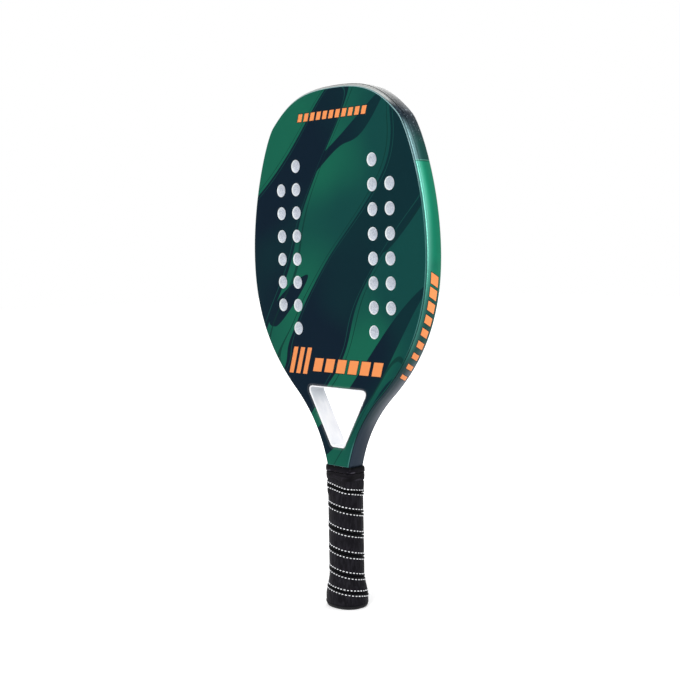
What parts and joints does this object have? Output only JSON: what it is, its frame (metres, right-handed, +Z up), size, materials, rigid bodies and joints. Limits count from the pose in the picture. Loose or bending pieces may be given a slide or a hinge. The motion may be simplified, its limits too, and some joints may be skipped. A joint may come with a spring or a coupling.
{
  "type": "beach tennis racket",
  "caption": "Perforated solid-faced racket with a throat opening, a crowned rim, and a flared handle wound with stitched padded strip.",
  "frame": {"origin": "centre of the flat base of the butt, on which the racket stands upright in the picture", "axes": "+Z up the racket from butt to crown, +X to the right when the front face is looked at, the front face towards -Y"},
  "size_m": [0.236, 0.0356, 0.48],
  "materials": {
    "rim_lacquer": "gloss lacquer over composite, green at the cheeks and slate blue towards the handle",
    "guard_tape": "gloss tape, grey at the crown and dark at the cheeks",
    "core_foam": "closed-cell foam, matt, pale lilac grey",
    "yoke_moulding": "satin white moulding",
    "face_print": "satin lacquer over a printed pattern of green and navy bands with orange bars",
    "handle_moulding": "rigid moulded foam, matt black",
    "cap_moulding": "fine moulded grain, black",
    "staple_steel": "drawn steel wire",
    "grip_leather": "black synthetic leather with white stitching along both edges",
    "grip_tape": "smooth black tape",
    "collar_rubber": "smooth black rubber"
  },
  "bodies": {
    "root": {"frame_tube": "rim_lacquer", "edge_guard": "guard_tape", "foam_core": "core_foam", "throat_yoke": "yoke_moulding", "front_skin": "face_print", "rear_skin": "face_print", "handle_spacer": "core_foam", "pallet_front": "handle_moulding", "pallet_rear": "handle_moulding", "butt_cap": "cap_moulding", "staple_front": "staple_steel", "staple_rear": "staple_steel", "grip_strip": "grip_leather", "finishing_tape": "grip_tape", "grip_collar": "collar_rubber"}
  },
  "joints": []
}
